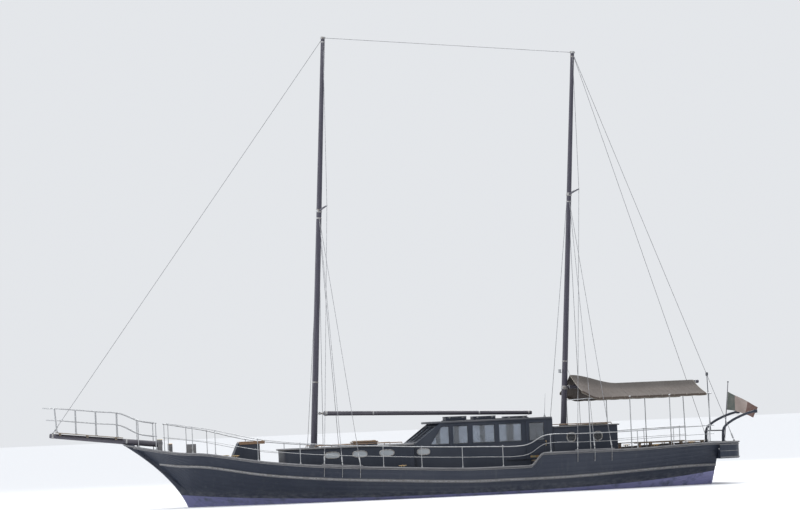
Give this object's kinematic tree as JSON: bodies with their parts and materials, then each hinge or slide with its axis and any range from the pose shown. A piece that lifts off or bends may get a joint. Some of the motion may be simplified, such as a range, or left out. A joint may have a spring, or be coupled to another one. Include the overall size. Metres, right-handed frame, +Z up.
{
  "type": "two-masted wooden whale watching boat",
  "caption": "Wooden motor sailer afloat: clipper bow with walkway sprit, trunk cabin, wheelhouse, bare masts and boom, aft awning, davits and a raised quarterdeck.",
  "frame": {"origin": "on the centreline at the waterline, midway along the waterline", "axes": "+X forward to the bow, +Y to port, +Z up"},
  "size_m": [26.9409, 6.2, 19.6263],
  "materials": {
    "hull_paint": "satin dark slate paint on planks",
    "bottom_paint": "matte violet-blue antifouling",
    "rail_paint": "weathered grey varnish",
    "teak_deck": "bare weathered planks",
    "house_paint": "satin dark paint",
    "spar_paint": "dark varnished timber",
    "stainless": "polished tube",
    "bronze": "cast bronze",
    "window_glass": "clear panes",
    "awning_cloth": "tan canvas",
    "flag_cloth": "thin woven cloth",
    "seat_cloth": "dark vinyl cloth",
    "grey_plastic": "moulded grey"
  },
  "bodies": {
    "boat": {"hull": "hull_paint", "keel": "bottom_paint", "bulwark_port": "hull_paint", "bulwark_starboard": "hull_paint", "cap_rail_port": "rail_paint", "cap_rail_starboard": "rail_paint", "rub_strake_port": "rail_paint", "rub_strake_starboard": "rail_paint", "main_deck": "teak_deck", "quarter_deck": "teak_deck", "stern_gallery": "hull_paint", "taffrail": "rail_paint", "windlass_and_bitts": "rail_paint", "bowsprit": "spar_paint", "bowsprit_walkway": "teak_deck", "pulpit_rail": "stainless", "guard_rail_port": "stainless", "guard_rail_starboard": "stainless", "fore_companion": "house_paint", "trunk_cabin": "house_paint", "wheelhouse_front": "house_paint", "wheelhouse_port": "house_paint", "wheelhouse_starboard": "house_paint", "wheelhouse_aft": "house_paint", "wheelhouse_roof": "house_paint", "wheelhouse_glass_front": "window_glass", "wheelhouse_glass_port": "window_glass", "wheelhouse_glass_starboard": "window_glass", "helm_console": "house_paint", "helm_seat": "seat_cloth", "roof_lockers": "house_paint", "antenna": "grey_plastic", "aft_deckhouse": "house_paint", "foremast": "spar_paint", "mizzenmast": "spar_paint", "mizzen_boom": "spar_paint", "forestay": "stainless", "head_stays": "stainless", "shrouds_fore_port": "stainless", "shrouds_fore_starboard": "stainless", "shrouds_mizzen_port": "stainless", "shrouds_mizzen_starboard": "stainless", "awning": "awning_cloth", "awning_frame": "stainless", "davits": "house_paint", "flagstaff": "spar_paint", "flag": "flag_cloth", "bench_port": "teak_deck", "bench_starboard": "teak_deck"},
    "rudder": {"rudder": "bottom_paint"},
    "propeller": {"propeller": "bronze"},
    "windlass_drum": {"windlass_drum": "stainless"},
    "companion_slide": {"companion_slide": "teak_deck"},
    "skylight_lid": {"skylight_lid": "teak_deck"},
    "door_port": {"door_port": "house_paint", "door_glass_port": "window_glass"},
    "door_starboard": {"door_starboard": "house_paint", "door_glass_starboard": "window_glass"},
    "helm_wheel": {"helm_wheel": "teak_deck"},
    "main_boom": {"main_boom": "spar_paint"}
  },
  "joints": [
    {"name": "rudder_turn", "type": "hinge", "parent": "boat", "child": "rudder", "pos_m": [-8.56, 0, -1.2], "axis": [0, 0, 1], "range_deg": [-35, 35]},
    {"name": "helm_turn", "type": "hinge", "parent": "boat", "child": "helm_wheel", "pos_m": [0.07, 0.7, 1.56], "axis": [1, 0, 0], "range_deg": [-540, 540]},
    {"name": "propeller_spin", "type": "hinge", "parent": "boat", "child": "propeller", "pos_m": [-8.23, 0, -1.15], "axis": [1, 0, 0], "continuous": true},
    {"name": "windlass_spin", "type": "hinge", "parent": "boat", "child": "windlass_drum", "pos_m": [9.64, 0, 2.18], "axis": [0, 1, 0], "continuous": true},
    {"name": "companion_slide_run", "type": "slide", "parent": "boat", "child": "companion_slide", "axis": [1, 0, 0], "range_m": [0, 0.5]},
    {"name": "skylight_hinge", "type": "hinge", "parent": "boat", "child": "skylight_lid", "pos_m": [2.735, 0, 2.1106], "axis": [0, -1, 0], "range_deg": [0, 75]},
    {"name": "door_port_run", "type": "slide", "parent": "boat", "child": "door_port", "axis": [1, 0, 0], "range_m": [0, 0.76]},
    {"name": "door_starboard_run", "type": "slide", "parent": "boat", "child": "door_starboard", "axis": [1, 0, 0], "range_m": [0, 0.76]},
    {"name": "main_boom_swing", "type": "hinge", "parent": "boat", "child": "main_boom", "pos_m": [4.80848, 0, 3.26], "axis": [-0.0646, 0, 0.9979], "range_deg": [-60, 60]}
  ],
  "couplings": [
    {"joint": "helm_turn", "follows": "rudder_turn", "ratio": 15.4}
  ]
}
